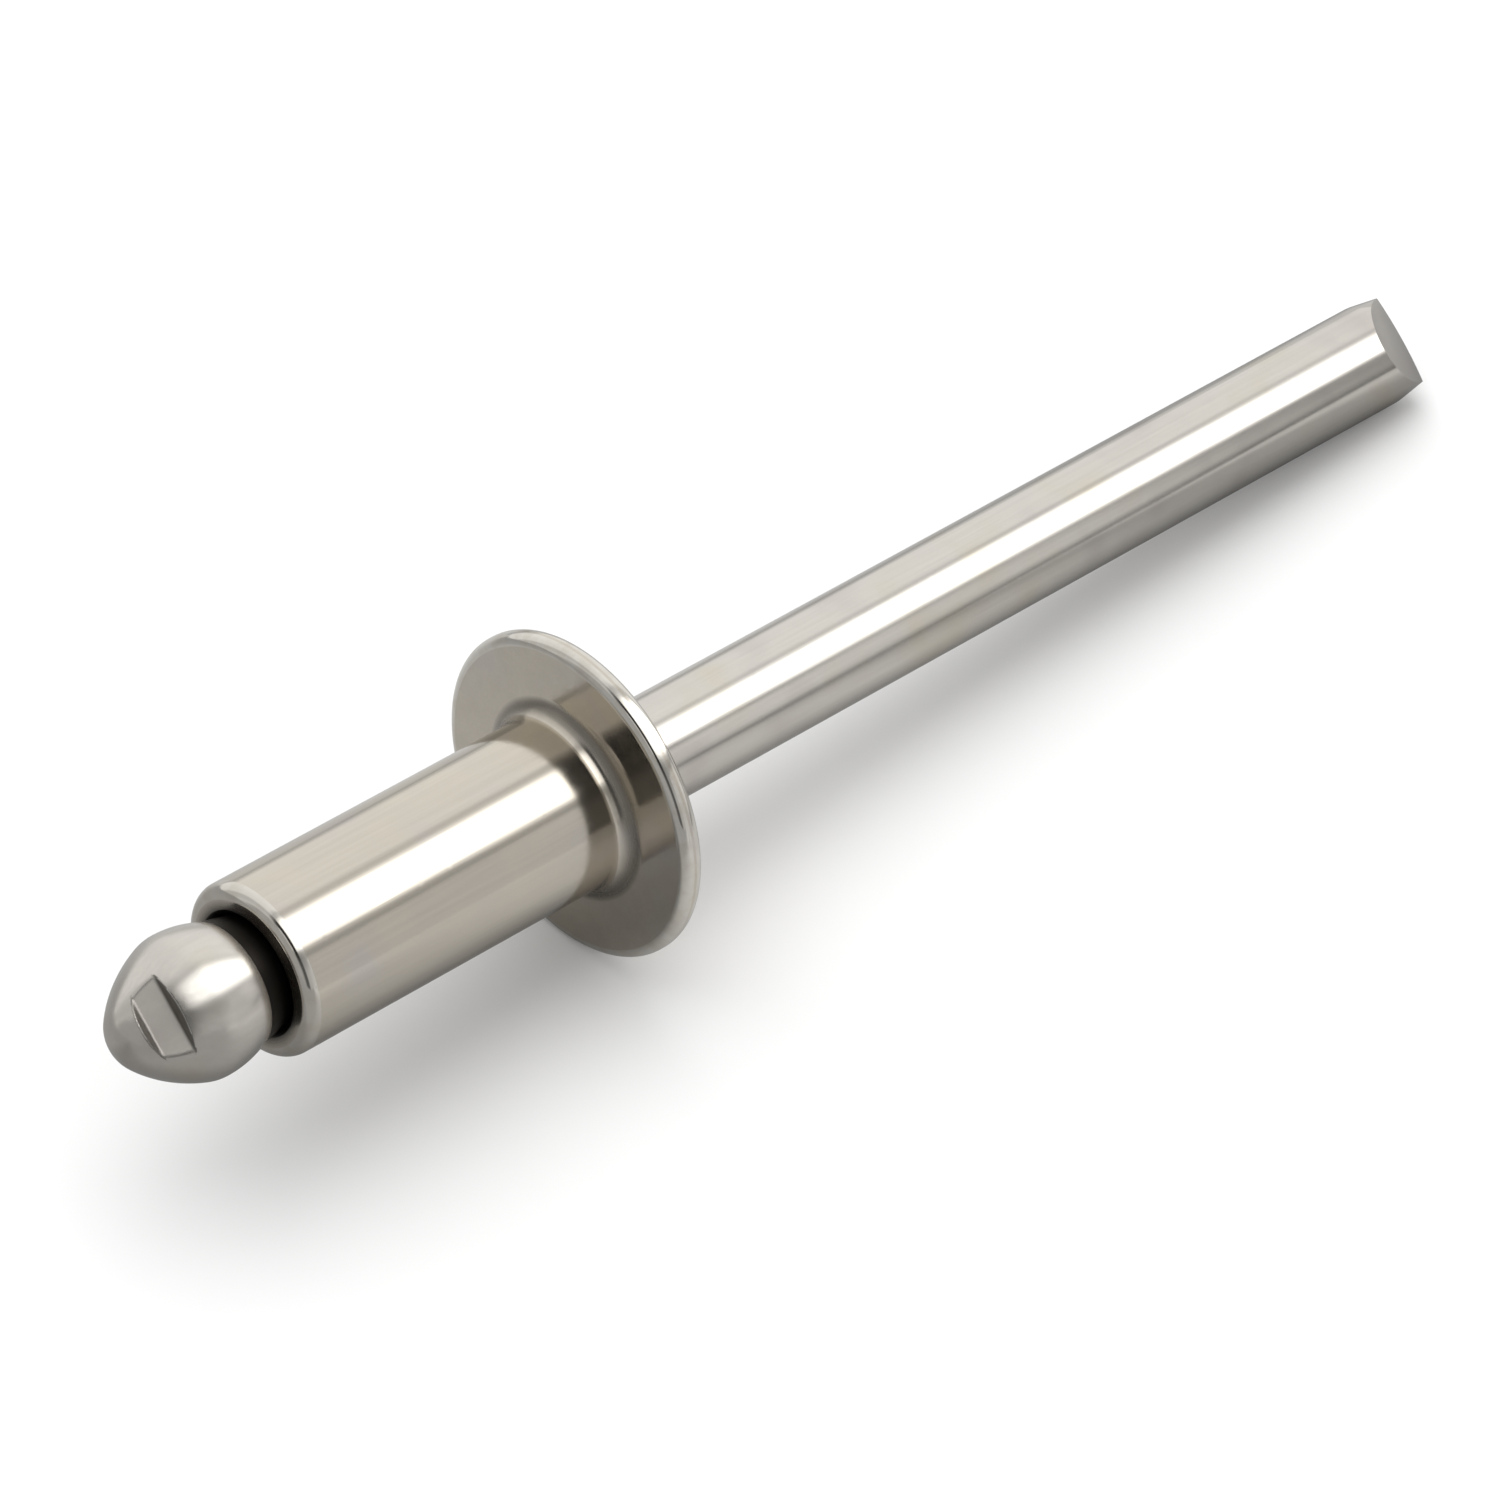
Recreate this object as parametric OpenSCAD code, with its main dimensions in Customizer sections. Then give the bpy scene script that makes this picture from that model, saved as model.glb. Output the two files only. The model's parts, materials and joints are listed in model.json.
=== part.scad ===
// Open-end blind rivet with a dome head, unset, in its two pieces: the hollow
// rivet body and the mandrel that runs through it. The rivet lies on a level
// surface on the rim of its flange and the far end of its stem.
//
// Each piece is drawn on the rivet's own axis, local Z, with Z = 0 at the
// bearing face of the flange and +Z towards the free end of the stem.
// lie_down() then brings it to rest: +Z up, the surface at Z = 0, +X towards
// the free end of the stem, and the origin at the centre of the base.

/* [Rivet body] */
// Outer diameter of the shank
shank_d = 4.8; // [4:0.1:6]
// Length of the shank, from the bearing face to its end face
shank_l = 10.7; // [6:0.1:20]
// Thickness of the shank's wall
wall = 0.845; // [0.7:0.005:1.1]
// Radius of the rounded outer edge at the shank's end
end_round = 0.35; // [0.1:0.01:0.45]
// Bevel at the mouth of the bore, at the shank's end
mouth_bevel = 0.2; // [0.05:0.01:0.25]

/* [Flange] */
// Diameter of the flange
flange_d = 9.1; // [8.3:0.1:11]
// Height of the dome head above the bearing face
head_h = 1.45; // [1.1:0.01:2]
// Radius that rounds both edges of the rim
rim_round = 0.28; // [0.1:0.01:0.35]
// Width of the straight band between the two rounded edges
rim_band = 0.1; // [0.02:0.01:0.2]
// Radius of the fillet between the shank and the bearing face
seat_fillet = 0.5; // [0.1:0.01:0.8]
// Bevel at the mouth of the bore, on the dome
dome_bevel = 0.12; // [0.05:0.01:0.2]

/* [Mandrel stem] */
// Radial clearance between the stem and the bore
stem_clear = 0.09; // [0.03:0.01:0.15]
// Length of stem that stands out of the dome head
stem_out = 29.75; // [15:0.05:45]
// Depth of the break groove's middle inside the shank's end face
groove_in = 1.9; // [1.5:0.05:3]
// Depth of the break groove
groove_depth = 0.24; // [0.1:0.01:0.4]
// Width of the break groove at the surface of the stem
groove_w = 0.5; // [0.2:0.01:0.7]

/* [Pinched-off stem end] */
// Angle of each slanted facet to the stem's axis
facet_angle = 37; // [25:1:50]
// Thickness of the blunt ridge where the two facets meet
ridge_w = 0.2; // [0.05:0.01:0.4]
// Radius of the ridge's slight crown
ridge_crown = 4.6; // [3:0.1:12]
// Length of the slight taper towards the ridge
tip_taper_l = 1.15; // [0.5:0.05:2]
// Loss of radius over that taper
tip_taper = 0.16; // [0.05:0.01:0.3]
// Angle of the ridge to the surface that the rivet lies on, seen along the axis
cut_roll = 38.6; // [0:0.1:60]

/* [Mandrel head] */
// Gap between the head's back edge and the shank's end face
head_gap = 0.66; // [0.3:0.01:1]
// Radial step from the bore out to the head's back edge
head_step = 0.175; // [0.1:0.005:0.2]
// Radial step from the head's widest point out to the shank's surface
head_inset = 0.42; // [0.3:0.01:0.45]
// Radial clearance of the conical neck at the bevel of the bore
seat_clear = 0.01; // [0.005:0.005:0.03]
// Length from the head's back edge to its widest point
head_back_l = 1.2; // [0.6:0.05:2]
// Radius of the shoulder in front of the widest point
shoulder_round = 1.33; // [0.8:0.01:1.5]
// Angle of the conical nose to the axis
nose_angle = 33; // [28:1:45]
// Radius of the rounded tip of the nose
nose_round = 1.2; // [0.6:0.05:1.25]

/* [Pinch flats on the nose] */
// Width of each flat, measured along the nose
flat_w = 0.78; // [0.4:0.01:1]
// Depth of each flat below the cone of the nose
flat_depth = 0.26; // [0.05:0.01:0.3]
// Distance of the flat's middle behind the tip, along the axis
flat_back = 0.82; // [0.6:0.01:1]
// Slope of the flat's two walls
flat_draft = 25; // [5:1:45]

/* [Hidden] */
$fn = 96;

// Rivet body
shank_r = shank_d / 2;
bore_r = shank_r - wall;
flange_r = flange_d / 2;
rim_axis_r = flange_r - rim_round;
dome_base = rim_round + rim_band;
dome_rise = head_h - dome_base;
// The dome is the arc that is centred on the axis and touches the rim's rounding
dome_r = (pow(rim_axis_r, 2) + pow(dome_rise, 2) - pow(rim_round, 2)) / (2 * (dome_rise - rim_round));
dome_touch_r = rim_axis_r * dome_r / (dome_r - rim_round);

// Mandrel stem
stem_r = bore_r - stem_clear;
stem_end = head_h + stem_out;
groove_z = groove_in - shank_l;

// Mandrel head, from its back edge forward
head_back_r = bore_r + head_step;
head_r = shank_r - head_inset;
head_back_z = -shank_l - head_gap;
head_wide_z = head_back_z - head_back_l;
swell = head_r - head_back_r;
back_arc_r = (pow(head_back_l, 2) + pow(swell, 2)) / (2 * swell);
shoulder_axis_r = head_r - shoulder_round;
nose_reach = (shoulder_axis_r * cos(nose_angle) + shoulder_round - nose_round) / sin(nose_angle);
nose_tip_z = head_wide_z - nose_reach - nose_round;
// The conical neck narrows from the back edge to just clear the bevel's inner end
neck_slope = (head_back_r - bore_r + seat_clear) / (head_gap + mouth_bevel);
neck_end_z = head_back_z + (head_back_r - stem_r) / neck_slope;

// Rest position: the rim of the flange and the stem's last full round touch the surface
stem_touch_z = stem_end - max(tip_taper_l, (stem_r * cos(cut_roll) - ridge_w / 2) / tan(facet_angle));
touch_run = stem_touch_z - dome_base;
touch_drop = rim_axis_r - stem_r;
lie_tilt = atan2(touch_drop, touch_run) + asin(rim_round / norm([touch_drop, touch_run]));
lie_height = rim_axis_r * cos(lie_tilt) + dome_base * sin(lie_tilt) + rim_round;
ridge_end_up = (stem_r - tip_taper) * sin(cut_roll) * sin(lie_tilt);
low_x = (nose_tip_z + nose_round) * cos(lie_tilt) - nose_round;
high_x = stem_end * cos(lie_tilt) + ridge_end_up;
// Cutting shapes run past what they cut by this much
over = 1;
// Length that is longer than the whole part, for the shapes that cut it
reach = shank_l + stem_end + flange_d;

steel = [0.78, 0.77, 0.75];
bright_steel = [0.83, 0.82, 0.80];

// Brings a piece from the rivet's own axis to where it lies
module lie_down() {
    translate([-(low_x + high_x) / 2, 0, lie_height])
        rotate([0, 90 + lie_tilt, 0])
            children();
}

// A rectangle of a half section, from the axis out to radius r
module slab(r, z0, z1) {
    translate([0, z0]) square([r, z1 - z0]);
}

// Half section of the shank with its rounded end and the fillet under the flange
module shank_section() {
    slab(shank_r, end_round - shank_l, dome_base);
    slab(shank_r - end_round, -shank_l, 0);
    translate([shank_r - end_round, end_round - shank_l]) circle(end_round);
    difference() {
        translate([shank_r - over / 2, -seat_fillet]) square([seat_fillet + over / 2, seat_fillet + rim_round]);
        translate([shank_r + seat_fillet, -seat_fillet]) circle(seat_fillet);
    }
}

// Half section of the flange: flat bearing face, rounded rim and low dome
module flange_section() {
    slab(rim_axis_r, 0, dome_base + rim_round / 2);
    slab(flange_r, rim_round, dome_base);
    for (z = [rim_round, dome_base])
        translate([rim_axis_r, z]) circle(rim_round);
    intersection() {
        translate([0, head_h - dome_r]) circle(dome_r, $fn = 2 * $fn);
        slab(dome_touch_r, dome_base, head_h);
    }
}

// Half section of the bore with a bevel at each mouth
module bore_section() {
    slab(bore_r, -shank_l - over, head_h + over);
    polygon([
        [0, -shank_l - over],
        [bore_r + mouth_bevel + over, -shank_l - over],
        [bore_r, mouth_bevel - shank_l],
        [0, mouth_bevel - shank_l],
    ]);
    // The dome falls away a little from its top to the mouth of the bore
    mouth_z = head_h - dome_r + sqrt(pow(dome_r, 2) - pow(bore_r, 2));
    polygon([
        [0, mouth_z - dome_bevel],
        [bore_r, mouth_z - dome_bevel],
        [bore_r + dome_bevel + over, mouth_z + over],
        [0, mouth_z + over],
    ]);
}

// Hollow body: shank, flange and dome head formed from one piece
module rivet_body() {
    color(steel)
        lie_down()
            rotate_extrude()
                difference() {
                    union() {
                        shank_section();
                        flange_section();
                    }
                    bore_section();
                }
}

// Half section of the bulb head from its back edge to its widest point
module bulb_section() {
    intersection() {
        translate([head_r - back_arc_r, head_wide_z]) circle(back_arc_r, $fn = 2 * $fn);
        slab(shank_r, head_wide_z, head_back_z);
    }
}

// Half section of the bulb head from its widest point to its tip
module nose_section() {
    side = [cos(nose_angle), -sin(nose_angle)];
    corner_reach = tan((90 - nose_angle) / 2);
    shoulder_axis = [shoulder_axis_r, head_wide_z];
    shoulder_touch = shoulder_axis + shoulder_round * side;
    shoulder_corner = [head_r, head_wide_z - shoulder_round * tan(nose_angle / 2)];
    nose_axis = [0, head_wide_z - nose_reach];
    nose_touch = nose_axis + nose_round * side;
    nose_corner = [nose_round * corner_reach, nose_tip_z];
    difference() {
        polygon([[0, head_wide_z], [head_r, head_wide_z], shoulder_corner, nose_corner, [0, nose_tip_z]]);
        difference() {
            polygon([shoulder_axis, [head_r, head_wide_z], shoulder_corner, shoulder_touch]);
            translate(shoulder_axis) circle(shoulder_round);
        }
        difference() {
            polygon([nose_axis, nose_touch, nose_corner, [0, nose_tip_z]]);
            translate(nose_axis) circle(nose_round);
        }
    }
}

// Half section of the neck, the break groove and the stem up to its pinched end
module stem_section() {
    polygon([
        [0, head_back_z],
        [head_back_r, head_back_z],
        [stem_r, neck_end_z],
        [stem_r, groove_z - groove_w / 2],
        [stem_r - groove_depth, groove_z],
        [stem_r, groove_z + groove_w / 2],
        [stem_r, stem_end - tip_taper_l],
        [stem_r - tip_taper, stem_end],
        [0, stem_end],
    ]);
}

// Everything that the pinched end keeps: a wedge with a blunt, crowned ridge
module pinch_wedge() {
    spread = ridge_w / 2 + reach * tan(facet_angle);
    rotate([0, 0, cut_roll])
        intersection() {
            rotate([90, 0, 0])
                linear_extrude(flange_d, center = true)
                    polygon([
                        [-ridge_w / 2, stem_end],
                        [ridge_w / 2, stem_end],
                        [spread, stem_end - reach],
                        [-spread, stem_end - reach],
                    ]);
            union() {
                translate([0, 0, stem_end - ridge_crown])
                    rotate([0, 90, 0])
                        cylinder(h = 2 * spread, r = ridge_crown, center = true);
                translate([0, 0, stem_end - ridge_crown - reach / 2])
                    cube([2 * spread, 2 * ridge_crown, reach], center = true);
            }
        }
}

// One flat pinched across the side of the nose
module nose_flat() {
    nose_tip_run = nose_reach + nose_round - flat_back;
    cone_r = (shoulder_axis_r * cos(nose_angle) + shoulder_round - nose_tip_run * sin(nose_angle)) / cos(nose_angle);
    open_w = flat_w + 2 * (flat_depth + over) * tan(flat_draft);
    translate([cone_r, 0, nose_tip_z + flat_back])
        rotate([0, nose_angle, 0])
            rotate([90, 0, 0])
                linear_extrude(shank_d, center = true)
                    polygon([
                        [-flat_depth, -flat_w / 2],
                        [-flat_depth, flat_w / 2],
                        [over, open_w / 2],
                        [over, -open_w / 2],
                    ]);
}

// Mandrel: bulb head, neck, break groove and stem drawn from one wire
module mandrel() {
    color(bright_steel)
        lie_down()
            intersection() {
                difference() {
                    union() {
                        rotate_extrude() nose_section();
                        rotate_extrude() bulb_section();
                        rotate_extrude() stem_section();
                    }
                    for (side = [0, 180])
                        rotate([0, 0, cut_roll + side]) nose_flat();
                }
                pinch_wedge();
            }
}

rivet_body();
mandrel();
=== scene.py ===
"""Unset pop rivet: the turned look of its two pieces, on a pale floor in a soft tent.

Both pieces are turned about the rivet's own axis, which is local Z, with Z = 0 at the
bearing face of the flange and +Z towards the free end of the stem. They are modelled in
millimetres and brought to rest, in metres, by LIE_DOWN.
"""

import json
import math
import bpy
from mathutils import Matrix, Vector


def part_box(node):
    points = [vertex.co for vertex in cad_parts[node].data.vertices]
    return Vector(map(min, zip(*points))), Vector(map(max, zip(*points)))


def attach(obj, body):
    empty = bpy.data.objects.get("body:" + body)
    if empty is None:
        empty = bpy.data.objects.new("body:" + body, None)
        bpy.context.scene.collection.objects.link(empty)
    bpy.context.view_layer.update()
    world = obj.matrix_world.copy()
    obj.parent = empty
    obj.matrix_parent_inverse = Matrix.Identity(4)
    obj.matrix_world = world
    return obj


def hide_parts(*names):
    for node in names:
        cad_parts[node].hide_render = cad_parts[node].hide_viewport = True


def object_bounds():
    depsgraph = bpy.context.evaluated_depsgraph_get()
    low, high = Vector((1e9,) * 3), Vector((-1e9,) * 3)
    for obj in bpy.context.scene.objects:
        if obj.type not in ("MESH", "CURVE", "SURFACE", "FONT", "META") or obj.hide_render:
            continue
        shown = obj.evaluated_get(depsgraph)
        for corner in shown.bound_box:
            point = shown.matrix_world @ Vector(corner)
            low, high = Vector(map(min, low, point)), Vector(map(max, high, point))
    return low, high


bl_info = {
    "name": "Pop rivet",
    "version": (1, 0, 0),
    "blender": (4, 5, 0),
    "location": "3D View > Sidebar > Rivet",
    "description": "Builds an unset pop rivet around its packed frame, with its steel and its studio",
    "category": "Add Mesh",
}

import bmesh
import bpy
from mathutils import Matrix, Vector

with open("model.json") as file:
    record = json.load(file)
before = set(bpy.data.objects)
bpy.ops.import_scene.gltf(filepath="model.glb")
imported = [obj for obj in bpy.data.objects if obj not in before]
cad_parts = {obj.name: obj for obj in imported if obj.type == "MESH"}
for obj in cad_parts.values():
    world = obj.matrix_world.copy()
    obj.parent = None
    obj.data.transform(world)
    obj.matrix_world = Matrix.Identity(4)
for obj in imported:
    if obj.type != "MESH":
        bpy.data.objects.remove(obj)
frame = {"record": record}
CAD_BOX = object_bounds()

MM = 0.001
ACROSS = Vector((0, 1, 0))

# The rivet's axis, its bearing face and its radii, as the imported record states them
MOUNTS = {mount["name"]: mount for mount in frame["record"]["mounts"]}
AXIS = Vector(MOUNTS["stem"]["axis"]).normalized()
SHANK_MIDDLE = Vector(MOUNTS["shank"]["pos_m"])
SEAT_DEPTH = (Vector(MOUNTS["flange_seat"]["pos_m"]) - SHANK_MIDDLE).dot(AXIS)
SEAT = SHANK_MIDDLE + AXIS * SEAT_DEPTH
SHANK_R = MOUNTS["shank"]["dims"]["r_mm"] * MM
SHANK_STRAIGHT = MOUNTS["shank"]["dims"]["length_mm"] * MM
STEM_R = MOUNTS["stem"]["dims"]["r_mm"] * MM
BODY_LOW, BODY_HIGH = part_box("rivet_body")
MANDREL_LOW, MANDREL_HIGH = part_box("mandrel")

TURN = Matrix((ACROSS.cross(AXIS), ACROSS, AXIS)).transposed()
LIE_DOWN = Matrix.Translation(SEAT) @ TURN.to_4x4() @ Matrix.Scale(MM, 4)

# How finely the pieces are turned: steps round the axis and in a rounding, and the longest
# step, in millimetres, where a shape is pressed into the skin
AROUND = 256
ROUND_STEPS = 10
FINE_STEP = 0.03
# Flat stretches get a ring this close to each end, so that a rounding doesn't shade into them
HOLD = 0.02
MERGE = 0.0005
# How bright the rounded edges are rubbed, from 0 to 1
RIM_WEAR = 1.0
END_WEAR = 0.8
MOUTH_WEAR = 0.4
# How dark the painted shade is on the walls of the pressed flats
WALL_SHADE = 0.7
# Radii between the head's back edge and the neck, and where the stem's end begins to taper
NECK_SOFT = 0.3
TAPER_SOFT = 1.5
# The ridge's crown is cut by planes that lean up to this far, in steps, in degrees
CROWN_LEAN = 15
CROWN_STEP = 5
# Edges of the pinched end that turn more than this are softened
SHARP = math.radians(18)
SENSOR_WIDTH = 36


# ---------------------------------------------------------------- sizes and colours


def length(name, description, millimetres):
    """A length that a user may change, shown in the scene's unit."""
    return bpy.props.FloatProperty(
        name=name, description=description, default=millimetres * MM, precision=5, unit="LENGTH"
    )


def angle(name, description, degrees):
    """An angle that a user may change, shown in degrees."""
    return bpy.props.FloatProperty(
        name=name, description=description, default=math.radians(degrees), subtype="ANGLE"
    )


def share(name, description, value):
    """A plain number that a user may change."""
    return bpy.props.FloatProperty(name=name, description=description, default=value, min=0, precision=3)


def colour(name, description, value):
    """A linear colour that a user may change."""
    return bpy.props.FloatVectorProperty(
        name=name, description=description, default=value, size=3, min=0, max=1, subtype="COLOR"
    )


class BodySizes(bpy.types.PropertyGroup):
    """Sizes of the hollow body that the frame's mounts don't give."""

    wall: length("Wall", "Thickness of the shank's wall", 0.845)
    end_round: length("End rounding", "Radius of the outer edge at the shank's end", 0.35)
    mouth_bevel: length("Mouth bevel", "Bevel at the mouth of the bore, at the shank's end", 0.2)
    head_height: length("Head height", "Height of the dome above the bearing face", 1.45)
    rim_round: length("Rim rounding", "Radius that rounds both edges of the flange's rim", 0.28)
    rim_band: length("Rim band", "Width of the straight band between the rim's roundings", 0.1)
    seat_fillet: length("Seat fillet", "Radius between the shank and the bearing face", 0.5)
    dome_bevel: length("Dome bevel", "Bevel at the mouth of the bore, on the dome", 0.12)
    edge_soft: length("Edge softness", "Radius of the edges of the two bevels", 0.04)


class MandrelSizes(bpy.types.PropertyGroup):
    """Sizes of the mandrel that the frame's mounts don't give."""

    head_gap: length("Head gap", "From the head's back edge to the shank's end face", 0.66)
    head_back_r: length("Back edge radius", "Radius of the head at its back edge", 1.73)
    head_r: length("Head radius", "Radius of the head where it is widest", 1.98)
    head_back: length("Head back length", "From the head's back edge to its widest point", 1.2)
    shoulder_round: length("Shoulder", "Radius in front of the head's widest point", 1.33)
    nose_angle: angle("Nose angle", "Angle of the cone that the nose swells past, to the axis", 33)
    nose_round: length("Nose rounding", "Radius of the tip of the nose", 1.2)
    nose_swell: length("Nose swell", "Radius of the swell that joins the shoulder and the tip", 4.2)
    neck_reach: length("Neck reach", "How far the conical neck runs into the bore", 0.57)
    groove_in: length("Groove place", "Middle of the break groove inside the shank's end", 1.9)
    groove_depth: length("Groove depth", "Depth of the break groove", 0.24)
    groove_w: length("Groove width", "Width of the break groove at the stem's surface", 0.5)
    roll: angle("Pinch roll", "Turn of both pinched ends about the axis", 38.6)
    flat_w: length("Flat width", "Width of the flat pressed across the nose", 0.78)
    flat_depth: length("Flat depth", "Depth of the pressed flat below the cone", 0.26)
    flat_back: length("Flat place", "Middle of the pressed flat behind the tip", 0.82)
    flat_draft: angle("Flat draft", "Slope of the two walls of the pressed flat", 25)
    flat_soft: length("Flat softness", "Rounding of the pressed flat's edges", 0.06)
    facet_angle: angle("Facet angle", "Angle of the stem end's facets to the axis", 37)
    ridge_w: length("Ridge width", "Thickness of the blunt ridge between the facets", 0.2)
    ridge_crown: length("Ridge crown", "Radius of the ridge's slight crown", 4.6)
    tip_taper: length("End taper", "Loss of radius towards the stem's end", 0.16)
    tip_taper_l: length("End taper length", "Length over which the stem's end tapers", 1.15)
    cut_soft: length("Cut softness", "Rounding of the edges of the pinched end", 0.05)


class SteelFinish(bpy.types.PropertyGroup):
    """Colour and surface of the two steels."""

    body_tone: colour("Body steel", "Colour of the body's steel", (0.62, 0.573, 0.497))
    mandrel_tone: colour("Mandrel steel", "Colour of the mandrel's steel", (0.66, 0.63, 0.58))
    warm: colour("Warm tint", "Colour that drifts into the steel", (0.65, 0.60, 0.51))
    cool: colour("Cool tint", "Colour that drifts into the steel", (0.60, 0.56, 0.52))
    # Near-black colour of the painted shade in the bore, the gap under the head, the fillet and the walls
    # of the pressed flats
    grime: colour("Grime", "Colour of the steel where it is sooty", (0.028, 0.025, 0.022))
    worn: colour("Worn edge", "Colour of edges that are rubbed bright", (0.72, 0.695, 0.64))
    body_gloss: share("Body roughness", "Roughness of the body's polished steel", 0.13)
    mandrel_gloss: share("Mandrel roughness", "Roughness of the mandrel's drawn steel", 0.16)
    matt_gloss: share("Matt roughness", "Roughness of the pressed flats, the mattest steel", 0.52)
    head_matt: share("Head mattness", "How matt the head is, 1 being as matt as its flats", 0.2)
    # Roughness of the steel under the painted shade
    grime_gloss: share("Grime roughness", "Roughness of the steel where it is sooty", 0.4)
    # How dark the painted shade in the fillet under the flange is
    fillet_grime: share("Fillet grime", "How sooty the fillet under the flange is", 0.6)
    grain_depth: length("Grain depth", "Depth of the drawn grain", 0.0008)
    ding_depth: length("Ding depth", "Depth of the marks from tumbling", 0.0006)
    wave_depth: length("Wave depth", "Depth of the slow waviness of the skin", 0.008)


class StageSettings(bpy.types.PropertyGroup):
    """Camera, floor and light."""

    azimuth: angle("Azimuth", "Camera's turn from the front, 90 degrees being the right side", -42.92)
    elevation: angle("Elevation", "Camera's height above the horizon", 44.9)
    distance: length("Distance", "From the camera to the point that it looks at", 220.4)
    lens: share("Lens", "Focal length of the camera, in millimetres", 204.7)
    aim_along: length("Aim along", "How far the camera looks towards the head from the middle", 3.0)
    aim_near: length("Aim near", "How far the camera looks to the near side of the middle", 1.5)
    aim_down: length("Aim down", "How far the camera looks below the middle", 0.53)
    floor_size: length("Floor size", "Side of the square floor", 3000)
    floor_tone: share("Floor tone", "Lightness of the floor", 0.9)
    card_start: length("Card start", "Where the card beside the stem begins, along the rivet", -6)
    card_length: length("Card length", "Length of the card beside the stem", 76)
    card_fade: length("Card fade", "Where the card's dark foot has faded in, along the rivet", 15)
    card_height: length("Card height", "Height of the card beside the stem", 24)
    card_away: length("Card distance", "From the rivet's middle to the card beside the stem", 30)
    overhead_strength: share("Overhead strength", "Strength of the overhead light", 1.25)
    overhead_size: angle("Overhead size", "Apparent size of the light, which softens shadows", 60)
    overhead_lean: angle("Overhead lean", "Lean of the overhead light towards the far side", 12)
    fill: share("Fill", "Brightness of the even light that fills the shadows", 0.83)
    tent_strength: share("Tent strength", "Brightness of the tent that the steel reflects", 1.0)


def sizes(group):
    """A property group's values by name, with its lengths in millimetres."""
    values = {}
    for name in group.__annotations__:
        is_length = group.bl_rna.properties[name].unit == "LENGTH"
        values[name] = getattr(group, name) / MM if is_length else getattr(group, name)
    return values


# ---------------------------------------------------------------- turning


def arc(centre, radius, start, stop, steps=ROUND_STEPS, wear=0.0):
    """Points (radius, height, wear) of a round stretch, from one angle to another, in degrees."""
    points = []
    for step in range(steps + 1):
        turn = math.radians(start + (stop - start) * step / steps)
        points.append((centre[0] + radius * math.cos(turn), centre[1] + radius * math.sin(turn), wear))
    return points


def straight(start, stop):
    """Points of a flat stretch, held at both of its ends."""
    start, stop = Vector(start[:2]), Vector(stop[:2])
    hold = (stop - start).normalized() * min(HOLD, (stop - start).length / 4)
    return [(*point, 0.0) for point in (start, start + hold, stop - hold, stop)]


def fine_steps(distance):
    """Steps that keep a stretch's rings a fine step apart."""
    return max(2, math.ceil(distance / FINE_STEP))


def swell_centre(first, first_away, second, second_away):
    """Centre of an arc, inside the outline, at its own distance from each of two points."""
    apart = second - first
    along = (apart.length_squared + first_away**2 - second_away**2) / (2 * apart.length)
    inward = Vector((apart.y, -apart.x)).normalized()
    return first + apart.normalized() * along + inward * math.sqrt(first_away**2 - along**2)


def corner(before, place, after, radius, wear=0.0):
    """Points of a corner of the outline, rounded by an arc that touches both of its sides."""
    before, place, after = Vector(before[:2]), Vector(place[:2]), Vector(after[:2])
    to_before, to_after = (before - place).normalized(), (after - place).normalized()
    half = to_before.angle(to_after) / 2
    centre = place + (to_before + to_after).normalized() * radius / math.sin(half)
    first = place + to_before * radius / math.tan(half) - centre
    last = place + to_after * radius / math.tan(half) - centre
    start = math.degrees(math.atan2(first.y, first.x))
    sweep = (math.degrees(math.atan2(last.y, last.x)) - start + 180) % 360 - 180
    return arc(centre, radius, start, start + sweep, steps=ROUND_STEPS // 2, wear=wear)


def joined(*stretches):
    """One outline from its stretches, with flat lines between them and no point twice."""
    points = []
    for stretch in stretches:
        if points:
            stretch = straight(points[-1], stretch[0])[1:-1] + list(stretch)
        for point in stretch:
            if not points or (Vector(point[:2]) - Vector(points[-1][:2])).length > MERGE:
                points.append(point)
    return points


def turned(outline, closed):
    """A skin turned about Z from (radius, height, wear) points, ready to be made matt or given painted
    shade.
    """
    shape = bmesh.new()
    wear = shape.verts.layers.float.new("wear")
    shape.verts.layers.float.new("matt")
    shape.verts.layers.float.new("grime")
    verts = []
    for radius, height, worn in outline:
        vert = shape.verts.new((radius, 0, height))
        vert[wear] = worn
        verts.append(vert)
    following = verts[1:] + verts[:1] if closed else verts[1:]
    edges = [shape.edges.new(pair) for pair in zip(verts, following)]
    bmesh.ops.spin(
        shape, geom=verts + edges, cent=(0, 0, 0), axis=(0, 0, 1), dvec=(0, 0, 0),
        angle=2 * math.pi, steps=AROUND, use_merge=True, use_duplicate=False,
    )
    bmesh.ops.remove_doubles(shape, verts=shape.verts, dist=MERGE)
    bmesh.ops.recalc_face_normals(shape, faces=shape.faces)
    return shape


def laid_down(shape, name, node, material):
    """Makes the shape a piece that stands for its CAD node, at rest on the floor."""
    bmesh.ops.transform(shape, matrix=LIE_DOWN, verts=shape.verts)
    mesh = bpy.data.meshes.new(name)
    shape.to_mesh(mesh)
    shape.free()
    mesh.materials.append(material)
    piece = bpy.data.objects.new(name, mesh)
    bpy.context.scene.collection.objects.link(piece)
    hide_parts(node)
    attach(piece, "root")


# ---------------------------------------------------------------- rivet body


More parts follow.
